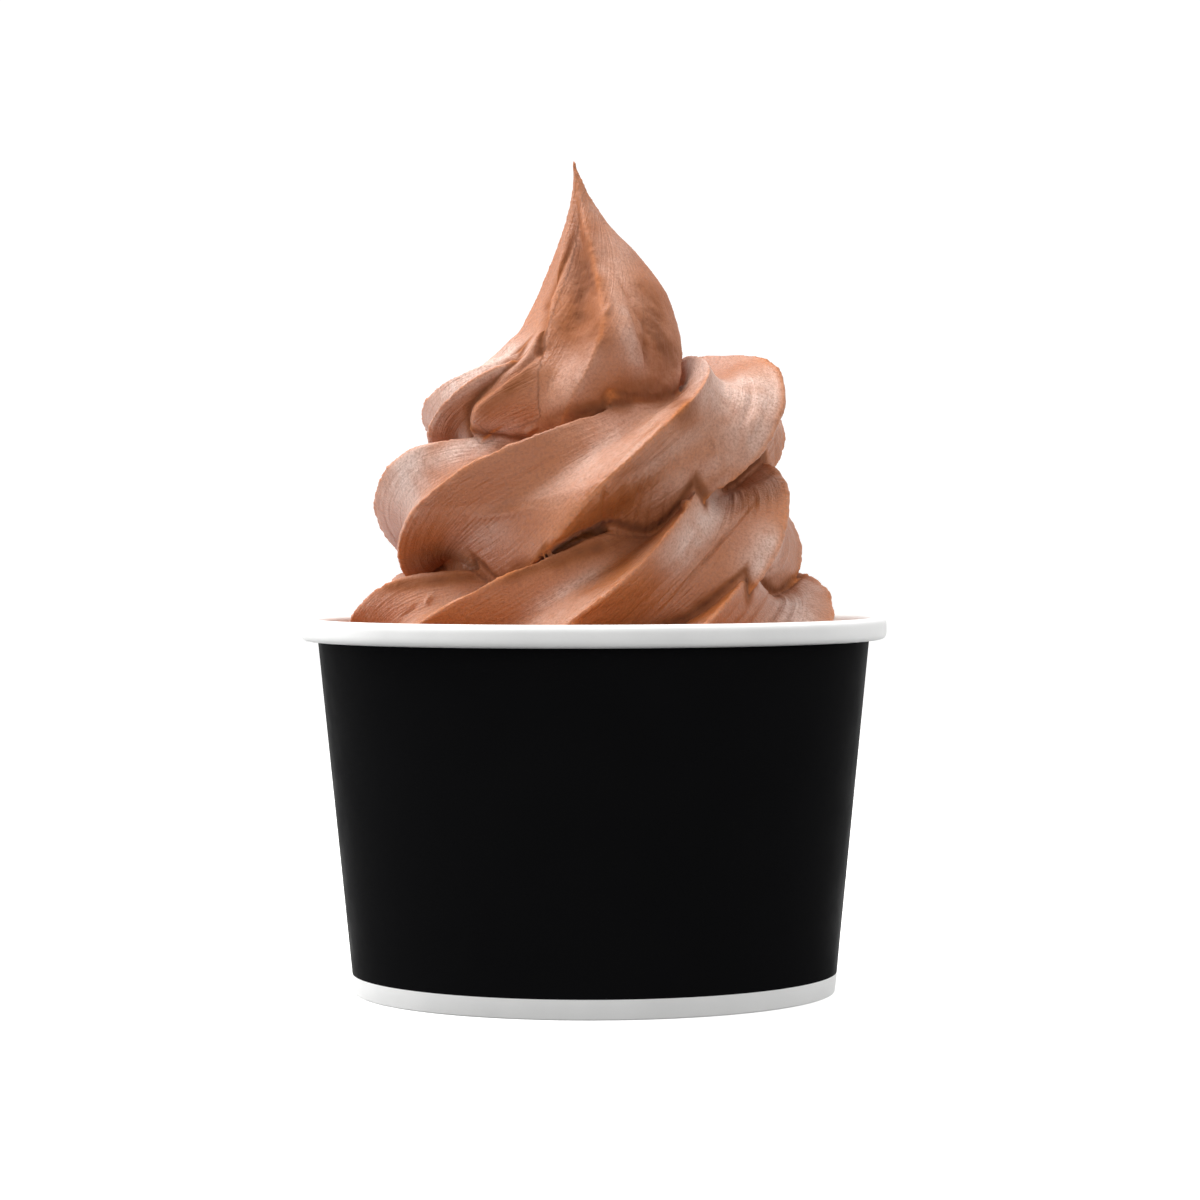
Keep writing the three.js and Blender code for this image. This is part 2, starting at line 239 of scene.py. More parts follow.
# Torn, matte patches on the front, also darkened as painted shade: x, z, half length, half
# width, tilt and strength.
TORN_AND_SHADED_PATCHES = [
    (11.3, 104.0, 13.0, 3.2, -72, 1.0),
    (8.0, 97.4, 7.5, 2.8, 15, 1.0),
    (-1.4, 114.0, 11.0, 3.0, 86, 1.0),
    (-4.8, 118.0, 6.5, 0.5, 68, 1.0),
    (-7.7, 108.5, 4.5, 0.7, 82, 1.0),
    (-14.0, 97.6, 6.5, 1.6, 40, 0.7),
    (-1.5, 107.5, 4.5, 3.0, 0, 0.9),
    (4.3, 95.6, 13.0, 1.7, 15, 1.0),
    (-3.9, 71.3, 12.0, 1.5, 15, 1.0),
    (-26.0, 67.4, 8.5, 1.1, 7, 0.9),
    (13.9, 80.2, 13.0, 1.6, 22, 0.25),
]
TORN_DEPTH = 0.2
# Painted shade: the width of the darkened band where two turns touch, in the crease between
# them.
CONTACT_SHADE_WIDTH = 1.3  # of the torn band where two turns touch
# Painted sheen: pale patches on the front that stand in for glossy highlights, in the same way.
PAINTED_SHEEN_PATCHES = [
    (5.6, 108.0, 9.0, 1.8, -76, 0.4),
    (-3.1, 100.5, 6.5, 2.6, 62, 0.35),
    (-19.9, 100.5, 11.0, 2.4, 28, 1.0),
    (-26.5, 95.6, 4.0, 2.5, 90, 0.9),
    (-30.5, 84.8, 8.0, 3.5, 75, 1.0),
    (-20.0, 88.9, 9.0, 1.8, 20, 0.7),
    (0.2, 87.0, 8.0, 2.0, 48, 0.38),
    (9.1, 92.8, 6.0, 1.8, 35, 0.35),
    (13.0, 88.5, 9.0, 1.8, 36, 0.3),
    (17.3, 84.6, 10.0, 1.8, 27, 0.3),
    (-18.3, 74.8, 5.0, 2.0, 10, 0.35),
    (23.0, 99.0, 11.0, 6.0, -15, 0.8),
    (27.0, 90.0, 8.0, 6.0, -60, 0.55),
    (-3.8, 66.4, 7.0, 1.4, 30, 0.4),
    (17.2, 76.5, 9.0, 2.6, 50, 0.8),
    (28.0, 70.7, 5.0, 4.0, 60, 0.8),
    (32.6, 63.0, 6.0, 3.5, 90, 0.8),
]
# How strong the painted highlight is on faces that look up.
UPWARD_SHEEN = 0.3
# Marks and patches fade in between these distances in front of the axis.
FRONT_FADE = (-4, 12)

VOXEL = 0.33

# ---- cup ----
CUP_HEIGHT = 61.2
RIM_RADIUS = 47.95
RIM_WIDTH = 3.3
RIM_HEIGHT = 3.6
RIM_SQUARENESS = 0.6  # 1 is an ellipse, and less is squarer
RIM_END_ANGLE = -110
RIM_STEPS_INSIDE = 14
RIM_STEPS_OUTSIDE = 60
FOOT_RADIUS = 39.4
WALL_TOP = CUP_HEIGHT - RIM_HEIGHT
WALL_TOP_RADIUS = 45.1
WALL_LEVELS = np.linspace(8, 52, 12)
ON_WALL = 0.1  # off the wall's outside, at most, for a face that is printed
PAPER = 0.5
PAPER_GAP = 0.3
FOOT_FOLD_HEIGHT = 5.2
FOOT_BEVEL = 0.3
FOOT_ROUNDING = 0.08
BASE_TOP = 6.5
BASE_EDGE = (1, 0.3)  # across and down
SKIRT_BOTTOM = 1.2
PRINT_BOTTOM = 3.25
PRINT_TOP = 57.8
CUP_SIDES = 288
WELD_DISTANCE = 1e-7  # metres

# ---- colours ----
# The soft serve's, as linear red, green and blue, and how far each covers the one before.
BLOTCH_BROWNS = (0.42, 0.122, 0.028), (0.48, 0.155, 0.042)
# A dark brown for the torn patches, painted shade as well, and for the band of painted shade
# where turns touch.
TORN_AND_SHADE_BROWN, TORN_AND_SHADE_SHARE = (0.17, 0.046, 0.009), 0.9
# A pale pink painted sheen, standing in for glossy highlights.
PAINTED_SHEEN_PINK = (0.80, 0.60, 0.52)
# A brighter orange along the crests, a painted glow of light through their thin edges.
PAINTED_CREST_GLOW, CREST_GLOW_SHARE = (0.58, 0.18, 0.04), 0.85
GRAIN_BROWN, GRAIN_SHARE = (0.24, 0.066, 0.014), 0.6
SMOOTH_ROUGHNESS, TORN_ROUGHNESS = 0.38, 0.95
# The others, as screen values from 0 to 255.
PRINT_BLACK = (19, 19, 20)
PAPER_WHITE = (251, 251, 250)
FLOOR_WHITES = (246, 246, 245), (250, 250, 249)

# ---- floor and light ----
FLOOR_SIZE = 40
FLOOR_CELLS = 8
FLOOR_GLOW = 0.5
# The surround's strength towards each end of each axis.
SURROUND = [
    ("X", -1, 1.15),
    ("X", 1, 0.4),
    ("Y", -1, 0.6),
    ("Y", 1, 1.1),
    ("Z", -1, 0.08),
    ("Z", 1, 0.3),
]
BELOW_SHARE = 0.3  # of that strength is left towards the ground, and all of it above
GROUND_FADE = (-0.7, -0.02)
# Name, place, size and power of each soft light, all aimed at the swirl.
LIGHTS = [
    ("overhead", (-0.24, 0.0, 0.73), (0.5, 0.5), 6.8),
    ("top_right", (0.50, 0.12, 0.60), (0.45, 0.45), 1.0),
    ("front_right", (0.60, -0.60, 0.30), (0.4, 0.4), 1.5),
    ("left_edge", (-0.60, 0.30, 0.20), (0.25, 0.6), 1.6),
    ("right_edge", (0.60, 0.28, 0.20), (0.15, 0.6), 0.5),
]
LIGHT_TARGET = (0, 0, 0.08)


# ---- helpers ----

def smooth_curve(rows, column=1):
    """A curve through the rows that doesn't overshoot them, for numbers or arrays."""
    x = np.array([row[0] for row in rows], float)
    y = np.array([row[column] for row in rows], float)
    width = np.diff(x)
    slope = np.diff(y) / width
    tangent = np.zeros(len(x))
    tangent[0], tangent[-1] = slope[0], slope[-1]
    same_way = slope[:-1] * slope[1:] > 0
    before = (2 * width[1:] + width[:-1])[same_way]
    after = (width[1:] + 2 * width[:-1])[same_way]
    tangent[1:-1][same_way] = (before + after) / (
        before / slope[:-1][same_way] + after / slope[1:][same_way]
    )

    def value(position):
        p = np.clip(position, x[0], x[-1])
        i = np.clip(np.searchsorted(x, p, side="right") - 1, 0, len(x) - 2)
        t = (p - x[i]) / width[i]
        rise = t * t * (3 - 2 * t)
        bend = t * (1 - t) ** 2 * tangent[i] - t * t * (1 - t) * tangent[i + 1]
        return y[i] * (1 - rise) + y[i + 1] * rise + width[i] * bend

    return value


def smooth_step(low, high, value):
    """0 up to low, 1 from high on, and a smooth rise between them."""
    t = np.clip((value - low) / (high - low), 0, 1)
    return t * t * (3 - 2 * t)


def noise(points, seed):
    """Smooth noise from -1 to 1 at an array of points, with bumps about one unit wide."""
    size = 64
    lattice = np.random.default_rng(seed).uniform(-1, 1, (size, size, size))
    cell = np.floor(points).astype(int)
    t = points - cell
    t = t * t * (3 - 2 * t)
    total = np.zeros(points.shape[:-1])
    for corner in np.ndindex(2, 2, 2):
        index = (cell + corner) % size
        weight = np.prod(np.where(corner, t, 1 - t), axis=-1)
        total += weight * lattice[index[..., 0], index[..., 1], index[..., 2]]
    return total


def swirl_noise(points, name):
    width, seed = NOISES[name]
    return noise(points / width, seed)


def streak_noise(first, second, name):
    """Noise that is drawn out along one of the two directions."""
    first_width, second_width, shift, seed = STREAKS[name]
    place = [first / first_width, second / second_width, 0 * first + shift]
    return noise(np.stack(place, axis=-1), seed)


def grid_mesh(name, points):
    """A mesh of the points' rows, each closed into a ring. Points are in millimetres."""
    rows, sides = points.shape[:2]
    index = np.arange(rows * sides).reshape(rows, sides)
    here, there = index[:-1], index[1:]
    quads = np.stack(
        [here, np.roll(here, -1, axis=1), np.roll(there, -1, axis=1), there], axis=-1
    ).reshape(-1, 4)
    mesh = bpy.data.meshes.new(name)
    mesh.vertices.add(rows * sides)
    mesh.vertices.foreach_set("co", (points * MM).reshape(-1))
    mesh.loops.add(quads.size)
    mesh.loops.foreach_set("vertex_index", quads.reshape(-1))
    mesh.polygons.add(len(quads))
    mesh.polygons.foreach_set("loop_start", np.arange(0, quads.size, 4))
    mesh.update(calc_edges=True)
    return mesh


def closed_ends(points):
    """Adds a row at each end where all the points meet in the middle."""
    first = np.broadcast_to(points[0].mean(axis=0), points[0].shape)
    last = np.broadcast_to(points[-1].mean(axis=0), points[-1].shape)
    return np.concatenate([first[None], points, last[None]])


def turned_points(outline, sides):
    """The outline of (radius, height) turned about +Z: one row for each of its points."""
    outline = np.array(outline, float)
    angle = np.radians(np.arange(sides) * 360 / sides)
    radius, height = outline[:, :1], outline[:, 1:]
    return np.stack(
        [radius * np.cos(angle), radius * np.sin(angle), height + 0 * angle], axis=-1
    )


def add_object(name, mesh):
    thing = bpy.data.objects.new(name, mesh)
    bpy.context.scene.collection.objects.link(thing)
    return thing


# ---- the swirl's form ----

rope_height = smooth_curve(ROPE, 1)
rope_reach = smooth_curve(ROPE, 2)
rope_size = smooth_curve(ROPE, 3)
ridge_count = smooth_curve([(angle, k) for k, angle in enumerate(RIDGES)])
lean_above = smooth_curve(LEAN_ABOVE)
lean_below = smooth_curve(LEAN_BELOW)
turn_spacings = smooth_curve([(turn, spacings) for spacings, turn in RIDGE_TURN])


def ridge_phase(rope_angle, section_angle):
    """Whole numbers are ridges and halves are valleys."""
    ridge_lean = np.where(section_angle < 0, lean_below(rope_angle), lean_above(rope_angle))
    lean = (ridge_lean - 1) * LEAN_WEIGHT * np.sin(np.radians(section_angle))
    return ridge_count(rope_angle) - turn_spacings(section_angle) - lean


def valley_shape(phase, rounding=RIDGE_ROUNDING):
    offset = 2 * np.abs(phase - np.round(phase))
    rounded = np.hypot(offset, rounding) - rounding
    return 1 - (1 - rounded) ** 2


def rope_radius(rope_angle, phase):
    return rope_size(rope_angle) * (1 - VALLEY_DEPTH * valley_shape(phase))


def rope_place(rope_angle, section_angle, reach):
    """The point at that angle round the section and that reach from its centre."""
    up = np.sin(np.radians(section_angle))
    radius = rope_reach(rope_angle) - rope_size(rope_angle)
    radius = np.maximum(radius + reach * np.cos(np.radians(section_angle)), MIN_RADIUS)
    turn = np.radians(rope_angle)
    height = rope_height(rope_angle) + reach * up * (1 - TOP_PRESS * np.maximum(up, 0) ** 4)
    return np.stack([radius * np.cos(turn), radius * np.sin(turn), height], axis=-1)


def rope_points():
    steps = int((ROPE_END - ROPE_START) / ROPE_STEP)
    section = np.linspace(-180, 180, ROPE_SIDES, endpoint=False)
    angle, around = np.meshgrid(
        np.linspace(ROPE_START, ROPE_END, steps), section, indexing="ij"
    )
    reach = rope_radius(angle, ridge_phase(angle, around))
    return rope_place(angle, around, reach)


peak_x = smooth_curve(PEAK, 1)
peak_y = smooth_curve(PEAK, 2)
peak_reach = smooth_curve(PEAK, 3)
peak_spread = smooth_curve(PEAK, 4)
peak_twist = smooth_curve(PEAK_TWIST)
ridge_flares = [smooth_curve(PEAK_FLARE, 1), smooth_curve(PEAK_FLARE, 2)]
facet_depths = [smooth_curve(FACET_DEPTH, k + 1) for k in range(LOBES)]


def peak_facet(height, around):
    """For directions around the peak: the facet's number, the share of the way across
    it, and the depth of its middle."""
    first = PEAK_EDGES[0]
    turned = (around - peak_twist(height) - first) % 360 + first
    k = np.clip(np.searchsorted(PEAK_EDGES, turned, side="right") - 1, 0, LOBES - 1)
    width = PEAK_EDGES[k + 1] - PEAK_EDGES[k]
    depth = np.choose(k, [depth_at(height) for depth_at in facet_depths])
    return k, (turned - PEAK_EDGES[k]) / width, depth


def ridge_flare(ridge, height):
    """How many times further than its table says that ridge reaches there."""
    flares = [flare_at(height) for flare_at in ridge_flares]
    return np.choose(ridge % LOBES, [*flares, *[np.ones_like(height)] * (LOBES - 2)])


def peak_radius(height, around):
    k, share, depth = peak_facet(height, around)
    flare = ridge_flare(k, height) * (1 - share) + ridge_flare(k + 1, height) * share
    left = np.array(LEFT_RIDGES + LEFT_RIDGES[:1])
    leftness = left[k] * (1 - share) + left[k + 1] * share
    soft = SOFT_ROUNDING * leftness * smooth_step(-SOFT_BELOW, SOFT_BLEND - SOFT_BELOW, -height)
    valley = valley_shape(share, RIDGE_ROUNDING + soft)
    return peak_reach(height) * flare * (1 - depth * valley)


def peak_points():
    levels = np.linspace(PEAK[0][0], PEAK[-1][0], PEAK_LEVELS)
    sides = np.linspace(0, 360, PEAK_SIDES, endpoint=False)
    height, around = np.meshgrid(levels, sides, indexing="ij")
    radius = peak_radius(height, around)
    sine, cosine = np.sin(np.radians(around)), np.cos(np.radians(around))
    back = np.maximum(-cosine, 0)
    return np.stack([
        peak_x(height) + radius * sine,
        peak_y(height) - radius * cosine + peak_spread(height) * back * back,
        height,
    ], axis=-1)


# ---- the swirl's mesh ----

def fused(name, meshes, voxel):
    """One closed mesh round all the meshes, with points about a voxel apart."""
    joined = bmesh.new()
    for mesh in meshes:
        joined.from_mesh(mesh)
    whole = bpy.data.meshes.new(name)
    joined.to_mesh(whole)
    joined.free()
    source = add_object(name, whole)
    remesh = source.modifiers.new("fuse", "REMESH")
    remesh.mode = "VOXEL"
    remesh.voxel_size = voxel * MM
    depsgraph = bpy.context.evaluated_depsgraph_get()
    result = bpy.data.meshes.new_from_object(source.evaluated_get(depsgraph))
    bpy.data.objects.remove(source)
    for mesh in [*meshes, whole]:
        bpy.data.meshes.remove(mesh)
    return result


def around_peak(points):
    """For each point: its height on the peak, the direction from the peak's centre and
    how far off the peak's surface it is."""
    height = np.clip(points[:, 2], PEAK[0][0], PEAK[-1][0])
    right, front = points[:, 0] - peak_x(height), peak_y(height) - points[:, 1]
    around = np.degrees(np.arctan2(right, front))
    miss = np.abs(np.hypot(right, front) - peak_radius(height, around))
    miss[points[:, 2] < PEAK[0][0]] = np.inf
    return height, around, miss


def swirl_coordinates(points):
    """For points on the swirl in millimetres: the rope angle and the section angle on the
    turn of the rope that they lie nearest, how far off that turn's surface they are, and
    how far they are from the next nearest turn or the peak."""
    direction = np.degrees(np.arctan2(points[:, 1], points[:, 0]))
    direction = (direction - ROPE_START) % 360 + ROPE_START
    radius = np.hypot(points[:, 0], points[:, 1])
    angles, arounds, misses = [], [], []
    for turn in range(ROPE_TURNS):
        angle = direction + 360 * turn
        out = radius - (rope_reach(angle) - rope_size(angle))
        up = points[:, 2] - rope_height(angle)
        around = np.degrees(np.arctan2(up, out))
        miss = np.abs(np.hypot(out, up) - rope_radius(angle, ridge_phase(angle, around)))
        miss[angle > ROPE_END] = np.inf
        angles.append(angle)
        arounds.append(around)
        misses.append(miss)
    nearest = np.argmin(misses, axis=0)
    neighbour = np.sort([*misses, around_peak(points)[2]], axis=0)[1]
    return (
        np.choose(nearest, angles),
        np.choose(nearest, arounds),
        np.min(misses, axis=0),
        neighbour,
    )


def peak_crest_distance(points):
    """For points on the peak, how far they are from its nearest ridge in millimetres."""
    height, around, miss = around_peak(points)
    k, share, _ = peak_facet(height, around)
    width = np.radians(np.diff(PEAK_EDGES))
    distance = np.minimum(share, 1 - share) * width[k] * peak_radius(height, around)
    return np.where(miss > 1, np.inf, distance)


def mesh_points(mesh):
    points = np.empty(len(mesh.vertices) * 3, np.float32)
    mesh.vertices.foreach_get("co", points)
    return points.reshape(-1, 3).astype(float) / MM


def mesh_normals(mesh):
    normals = np.empty(len(mesh.vertices) * 3, np.float32)
    mesh.vertex_normals.foreach_get("vector", normals)
    return normals.reshape(-1, 3).astype(float)


def set_attribute(mesh, name, values):
    kind = "FLOAT_VECTOR" if values.ndim == 2 else "FLOAT"
    attribute = mesh.attributes.new(name, kind, "POINT")
    attribute.data.foreach_set("vector" if values.ndim == 2 else "value", values.reshape(-1))


def zone(value, low, high, blur):
    """1 between low and high, fading to 0 over the blur outside them."""
    rise = smooth_step(low - blur, low, value)
    return rise * (1 - smooth_step(high, high + blur, value))


def strongest_zone(rope_angle, section_angle, zones, blur):
    """How strong the strongest of the table's zones is there, from 0 to 1."""
    total = np.zeros_like(rope_angle)
    for start, end, low, high, share in zones:
        there = zone(rope_angle, start, end, blur[0]) * zone(section_angle, low, high, blur[1])
        total = np.maximum(total, share * there)
    return total


def ridge_flow(rope_angle, section_angle):
    """Millimetres across the ridges and along the rope, about."""
    across = ridge_phase(rope_angle, section_angle) * RIDGE_SPACING
    return across, np.radians(rope_angle) * MEAN_REACH


def combed(points, rope_angle, section_angle):
    """Fine grooves that the nozzle's edge drew along the ridges, in patches."""
    across, along = ridge_flow(rope_angle, section_angle)
    strength = np.maximum(
        COMBED_ELSEWHERE * smooth_step(0.0, 0.6, swirl_noise(points, "combed_patches")),
        strongest_zone(rope_angle, section_angle, COMBED_ZONES, COMBED_BLUR),
    )
    coarse = streak_noise(across, along, "coarse_combing")
    fine = streak_noise(across, along, "fine_combing")
    return COMB_DEPTH * strength * (coarse + 0.5 * fine)


def ribbed(rope_angle, section_angle):
    """Short wrinkles across the ridges, where the rope was dragged."""
    across, along = ridge_flow(rope_angle, section_angle)
    strength = strongest_zone(rope_angle, section_angle, RIBBED_ZONES, RIBBED_BLUR)
    return RIB_DEPTH * strength * streak_noise(along, across, "ribs")


def on_front(points, x, z, half_length, half_width, tilt):
    """1 in the middle of an ellipse seen from the front, fading to 0 past its edge."""
    turn = math.radians(tilt)
    right, up = points[:, 0] - x, points[:, 2] - z
    along = (right * math.cos(turn) + up * math.sin(turn)) / half_length
    across = (up * math.cos(turn) - right * math.sin(turn)) / half_width
    return np.exp(-along ** 4 - across ** 2) * smooth_step(*FRONT_FADE, -points[:, 1])


def marks(points):
    """Millimetres that the marks stand out at each point."""
    total = np.zeros(len(points))
    for x, z, half_length, half_width, tilt, height in MARKS:
        total += height * on_front(points, x, z, half_length, half_width, tilt)
    return total


def patches(points, table):
    """The strongest of the table's patches at each point, from 0 to 1."""
    total = np.zeros(len(points))
    for x, z, half_length, half_width, tilt, strength in table:
        there = on_front(points, x, z, half_length, half_width, tilt)
        total = np.maximum(total, strength * there)
    return total


def torn_and_shade(points, neighbour):
    """How torn and shaded the surface is: in the patches, which are torn and also darkened as
    painted shade, and in a band of painted shade where two turns touch.
    """
    ragged = smooth_step(-0.6, 0.4, swirl_noise(points, "torn_shade_edge"))
    width = CONTACT_SHADE_WIDTH * (1 + 0.5 * swirl_noise(points, "contact_shade_edge"))
    # Painted shade in the crease where two turns touch.
    contact_shade = np.exp(-(neighbour / width) ** 2)
    return np.maximum(patches(points, TORN_AND_SHADED_PATCHES) * (0.6 + 0.4 * ragged), contact_shade)


def painted_sheen(points, normals):
    """Painted sheen: how pale the surface is painted, in the patches and a little where it
    faces up, standing in for glossy highlights.
    """
    clouds = swirl_noise(points, "sheen_spots") + swirl_noise(points, "sheen_clouds")
    mottled = smooth_step(-0.9, 0.5, clouds)
    upward = smooth_step(0.0, 0.7, normals[:, 2])
    # A painted highlight on faces that look up.
    upward = upward * smooth_step(-0.2, 0.5, swirl_noise(points, "sheen_above"))
    pale = np.maximum(patches(points, PAINTED_SHEEN_PATCHES), UPWARD_SHEEN * upward)
    return pale * (0.65 + 0.35 * mottled)


def crest(points, rope_angle, section_angle, on_rope):
    """1 on the crests of the ridges, fading to 0 beside them."""
    phase = ridge_phase(rope_angle, section_angle)
    from_crest = np.abs(phase - np.round(phase)) * RIDGE_SPACING
    rope_crest = np.exp(-(from_crest / CREST_WIDTH) ** 2) * on_rope
    peak_crest = np.exp(-(peak_crest_distance(points) / CREST_WIDTH) ** 2)
    return np.maximum(rope_crest, PEAK_CREST_SHARE * peak_crest)


def surface_detail(points, rope_angle, section_angle, on_rope, tears_and_shade):
    """Millimetres to move each point out along its normal: soft lumps, grooves along
    the ridges, wrinkles across them, broken crests, torn patches and a rough skin."""
    lumps = 0.22 * swirl_noise(points, "lumps") + 0.1 * swirl_noise(points, "small_lumps")
    skin_patches = smooth_step(-0.3, 0.5, swirl_noise(points, "skin_patches"))
    skin = SKIN_DEPTH * swirl_noise(points, "skin") * skin_patches
    ragged = swirl_noise(points, "broken_crest") + swirl_noise(points, "broken_crest_lumps")
    broken = CREST_BREAK * crest(points, rope_angle, section_angle, on_rope) * ragged
    rough = 0.6 * swirl_noise(points, "torn_and_shade") + swirl_noise(points, "torn_lumps")
    lines = combed(points, rope_angle, section_angle) + ribbed(rope_angle, section_angle)
    return lumps + skin + broken + lines * on_rope + TORN_DEPTH * tears_and_shade * rough + marks(points)


def make_swirl():
    meshes = [
        grid_mesh("rope", closed_ends(rope_points())),
        grid_mesh("peak", closed_ends(peak_points())),
        grid_mesh("core", turned_points(CORE, FILL_SIDES)),
        grid_mesh("fill", turned_points(FILL, FILL_SIDES)),
    ]
    mesh = fused("soft_serve_swirl", meshes, VOXEL)
    points, normals = mesh_points(mesh), mesh_normals(mesh)
    rope_angle, section_angle, miss, neighbour = swirl_coordinates(points)
    on_rope = 1 - smooth_step(0.5, 1.5, miss)
    tears_and_shade = torn_and_shade(points, neighbour)
    detail = surface_detail(points, rope_angle, section_angle, on_rope, tears_and_shade)
    mesh.vertices.foreach_set("co", ((points + normals * detail[:, None]) * MM).reshape(-1))
    mesh.update()
    mesh.shade_smooth()
    across, along = ridge_flow(rope_angle, section_angle)
    set_attribute(mesh, "flow", np.stack([across, along, 0 * across], axis=-1))
    set_attribute(mesh, "crest", crest(points, rope_angle, section_angle, on_rope))
    # The torn patches and the contact bands, which the colour darkens as painted shade.
    set_attribute(mesh, "torn_and_shade", tears_and_shade)
    # The painted sheen, kept off the torn and shaded places.
    set_attribute(mesh, "painted_sheen", painted_sheen(points, normals) * (1 - tears_and_shade))
    return add_object("soft_serve_swirl", mesh)


# ---- the cup's form ----

def wall_radius(height):
    return FOOT_RADIUS + (WALL_TOP_RADIUS - FOOT_RADIUS) * height / WALL_TOP


def layer_radius(height, sheets, gaps):
    """A face inside the wall, this many sheets of paper and gaps further in."""
    return wall_radius(height) - sheets * PAPER - gaps * PAPER_GAP


def rim_arc(inset, from_angle, to_angle, steps):
    """Points on the rolled rim's section, this far inside its outer face."""
    angle = np.radians(np.linspace(from_angle, to_angle, steps + 1))
    out, up = np.cos(angle), np.sin(angle)
    out = np.sign(out) * np.abs(out) ** RIM_SQUARENESS
    up = np.sign(up) * np.abs(up) ** RIM_SQUARENESS
    radius = RIM_RADIUS - RIM_WIDTH / 2 + (RIM_WIDTH / 2 - inset) * out
    height = CUP_HEIGHT - RIM_HEIGHT / 2 + (RIM_HEIGHT / 2 - inset) * up
    return list(zip(radius, height))


def wall_outline():
    levels = [PRINT_BOTTOM, *WALL_LEVELS, WALL_TOP]
    return [
        (FOOT_RADIUS - FOOT_BEVEL, 0),
        (wall_radius(FOOT_BEVEL) - FOOT_ROUNDING, FOOT_BEVEL / 3),
        (wall_radius(FOOT_BEVEL), FOOT_BEVEL),
        *[(wall_radius(height), height) for height in levels],
        *rim_arc(PAPER, 180, RIM_END_ANGLE, RIM_STEPS_INSIDE),
        *rim_arc(0, RIM_END_ANGLE, 180, RIM_STEPS_OUTSIDE),
        (layer_radius(WALL_TOP, 1, 0), WALL_TOP),
        (layer_radius(PAPER, 1, 0), PAPER),
        (layer_radius(PAPER, 2, 2), PAPER),
        (layer_radius(FOOT_FOLD_HEIGHT, 2, 2), FOOT_FOLD_HEIGHT),
        (layer_radius(FOOT_FOLD_HEIGHT, 3, 2), FOOT_FOLD_HEIGHT),
        (layer_radius(0, 3, 2), 0),
    ]


def is_printed(place):
    """Whether a face with its middle there is on the printed part of the wall's outside."""
    radius, height = math.hypot(place.x, place.y) / MM, place.z / MM
    on_wall = abs(radius - wall_radius(height)) < ON_WALL
    return on_wall and PRINT_BOTTOM < height < PRINT_TOP


def make_wall():
    outline = wall_outline()
    points = turned_points([*outline, outline[0]], CUP_SIDES)
    mesh = grid_mesh("cup_paper_wall", points)
    weld(mesh)
    plain = [int(not is_printed(face.center)) for face in mesh.polygons]
    mesh.polygons.foreach_set("material_index", plain)
    mesh.shade_smooth()
    return add_object("cup_paper_wall", mesh)


def make_base():
    underside = BASE_TOP - PAPER
    edge_across, edge_down = BASE_EDGE
    outline = [
        (0, underside),
        (layer_radius(underside, 2, 1) - edge_across, underside),
        (layer_radius(underside, 2, 1), underside - edge_down),
        (layer_radius(SKIRT_BOTTOM, 2, 1), SKIRT_BOTTOM),
        (layer_radius(SKIRT_BOTTOM, 1, 1), SKIRT_BOTTOM),
        (layer_radius(BASE_TOP, 1, 1), BASE_TOP),
        (0, BASE_TOP),
    ]
    mesh = grid_mesh("cup_paper_base", turned_points(outline, CUP_SIDES))
    weld(mesh)
    mesh.shade_smooth()
    return add_object("cup_paper_base", mesh)


def weld(mesh):
    """Joins points that lie on each other, and turns the faces outward."""
    working = bmesh.new()
    working.from_mesh(mesh)
    bmesh.ops.remove_doubles(working, verts=working.verts, dist=WELD_DISTANCE)
    bmesh.ops.recalc_face_normals(working, faces=working.faces)
    working.to_mesh(mesh)
    working.free()


# ---- materials ----

def new_material(name):
    """A material with its node tree and its shader."""
    material = bpy.data.materials.new(name)
    material.use_nodes = True
    return material, material.node_tree, material.node_tree.nodes["Principled BSDF"]


def put(tree, socket, value):
    """Links the value to the socket where it is one too, and sets it otherwise."""
    if isinstance(value, bpy.types.NodeSocket):
        tree.links.new(value, socket)
    else:
        socket.default_value = value


def set_inputs(tree, node, inputs):
    for name, value in inputs.items():
        put(tree, node.inputs[name], value)


def add_node(tree, kind, inputs, **settings):
    node = tree.nodes.new(kind)
    for name, value in settings.items():
        setattr(node, name, value)
    set_inputs(tree, node, inputs)
    return node


def object_place(tree):
    return tree.nodes.new("ShaderNodeTexCoord").outputs["Object"]


def attribute(tree, name, output="Fac"):
    return add_node(tree, "ShaderNodeAttribute", {}, attribute_name=name).outputs[output]


def noise_node(tree, vector, scale, detail=2.0, roughness=0.5):
    inputs = {"Vector": vector, "Scale": scale, "Detail": detail, "Roughness": roughness}
    return add_node(tree, "ShaderNodeTexNoise", inputs).outputs["Fac"]


def mapped(tree, value, low, high, to_low, to_high):
    node = add_node(tree, "ShaderNodeMapRange", {
        "Value": value,
        "From Min": low,
        "From Max": high,
        "To Min": to_low,
        "To Max": to_high,
    })
    return node.outputs["Result"]


def math_node(tree, operation, *values):
    node = add_node(tree, "ShaderNodeMath", {}, operation=operation)
    for socket, value in zip(node.inputs, values):
        put(tree, socket, value)
    return node.outputs[0]


def mixed_colour(tree, factor, first, second):
    node = tree.nodes.new("ShaderNodeMix")
    node.data_type = "RGBA"
    tree.links.new(factor, node.inputs["Factor"])
    for socket, colour in ((node.inputs["A"], first), (node.inputs["B"], second)):
        if isinstance(colour, tuple):
            socket.default_value = (*colour, 1)
        else:
            tree.links.new(colour, socket)
    return node.outputs["Result"]


def bumped(tree, height, distance, strength=1.0, normal=None):
    inputs = {"Height": height, "Distance": distance, "Strength": strength}
    if normal is not None:
        inputs["Normal"] = normal
    return add_node(tree, "ShaderNodeBump", inputs).outputs["Normal"]


